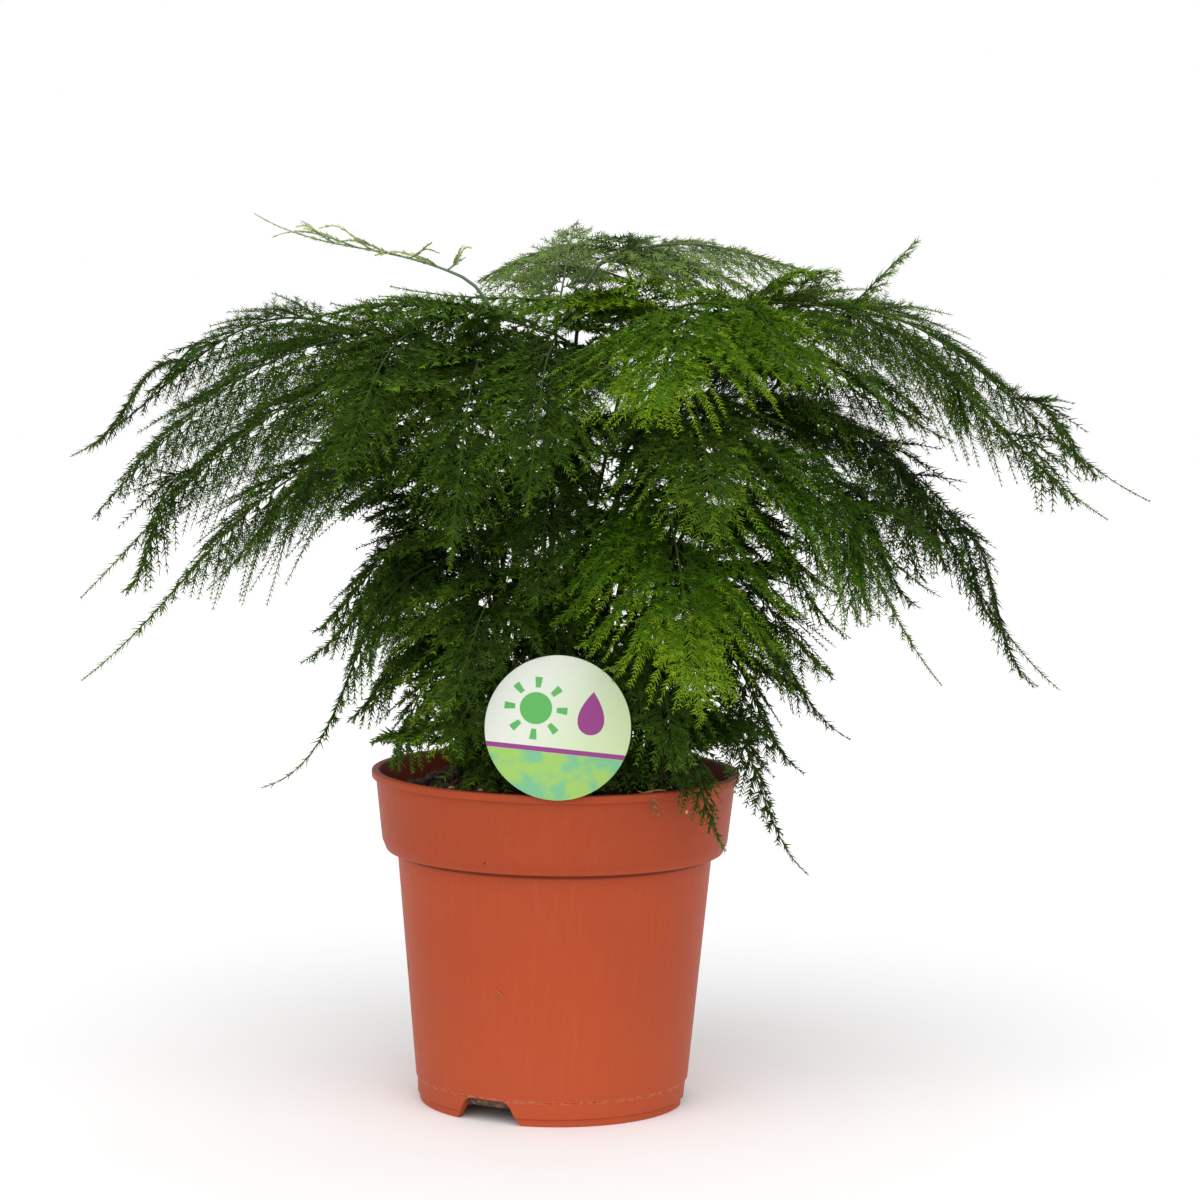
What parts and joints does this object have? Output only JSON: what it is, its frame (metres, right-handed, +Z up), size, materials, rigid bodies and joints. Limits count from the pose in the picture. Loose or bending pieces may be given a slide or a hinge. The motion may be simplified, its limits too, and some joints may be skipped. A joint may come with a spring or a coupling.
{
  "type": "asparagus fern in nursery pot",
  "caption": "Lacy asparagus fern with arching fronds of fine needles, in a round terracotta-coloured plastic nursery pot with a plain round plant label.",
  "frame": {"origin": "middle of the underside of the whole plant's box, at the level that the pot stands on", "axes": "+Z up, +X to the right along the plant's greatest width, the label faces -Y"},
  "size_m": [0.4134, 0.2786, 0.338],
  "materials": {
    "pot_plastic": "moulded terracotta-coloured plastic with fine pale scuffs",
    "peat": "damp crumbly peat",
    "label_plastic": "satin printed plastic sheet",
    "foliage_dark": "matte dark green needles and stems",
    "foliage_mid": "matte green needles and stems",
    "foliage_bright": "satin yellow-green needles and stems",
    "foliage_pale": "matte pale young growth"
  },
  "bodies": {
    "root": {"pot": "pot_plastic", "peat": "peat", "plant_label": "label_plastic", "frond_left_high": "foliage_dark", "frond_left_broad": "foliage_dark", "frond_left_crown": "foliage_dark", "frond_left_middle": "foliage_mid", "frond_left_low": "foliage_mid", "frond_left_under": "foliage_dark", "frond_left_drape": "foliage_mid", "frond_left_drape_outer": "foliage_mid", "frond_middle_drape": "foliage_mid", "frond_left_fan": "foliage_dark", "frond_left_lower": "foliage_dark", "frond_left_trail": "foliage_dark", "frond_left_inner": "foliage_dark", "frond_left_rim": "foliage_dark", "frond_left_front": "foliage_mid", "frond_left_fringe": "foliage_mid", "frond_centre_dark": "foliage_dark", "frond_centre_low": "foliage_dark", "frond_centre_right": "foliage_dark", "frond_new_shoot": "foliage_pale", "frond_top_light": "foliage_bright", "frond_top_left": "foliage_mid", "frond_top_right": "foliage_mid", "frond_top_rise": "foliage_mid", "frond_right_high": "foliage_mid", "frond_right_outer": "foliage_mid", "frond_right_upright": "foliage_mid", "frond_right_shadow": "foliage_mid", "frond_high_fan": "foliage_bright", "frond_crown_fan": "foliage_bright", "frond_middle_fan": "foliage_mid", "frond_low_fan": "foliage_bright", "frond_right_dark": "foliage_dark", "frond_right_back": "foliage_dark", "frond_right_middle": "foliage_dark", "frond_right_bright": "foliage_bright", "frond_right_front": "foliage_mid", "frond_right_pale": "foliage_dark", "frond_right_low": "foliage_dark", "frond_over_rim_right": "foliage_dark", "frond_over_rim_front": "foliage_dark", "frond_back_left": "foliage_mid", "frond_back_middle": "foliage_mid", "frond_back_right": "foliage_mid", "frond_back_low_left": "foliage_dark", "frond_back_low_right": "foliage_dark", "frond_back_low": "foliage_dark"}
  },
  "joints": []
}
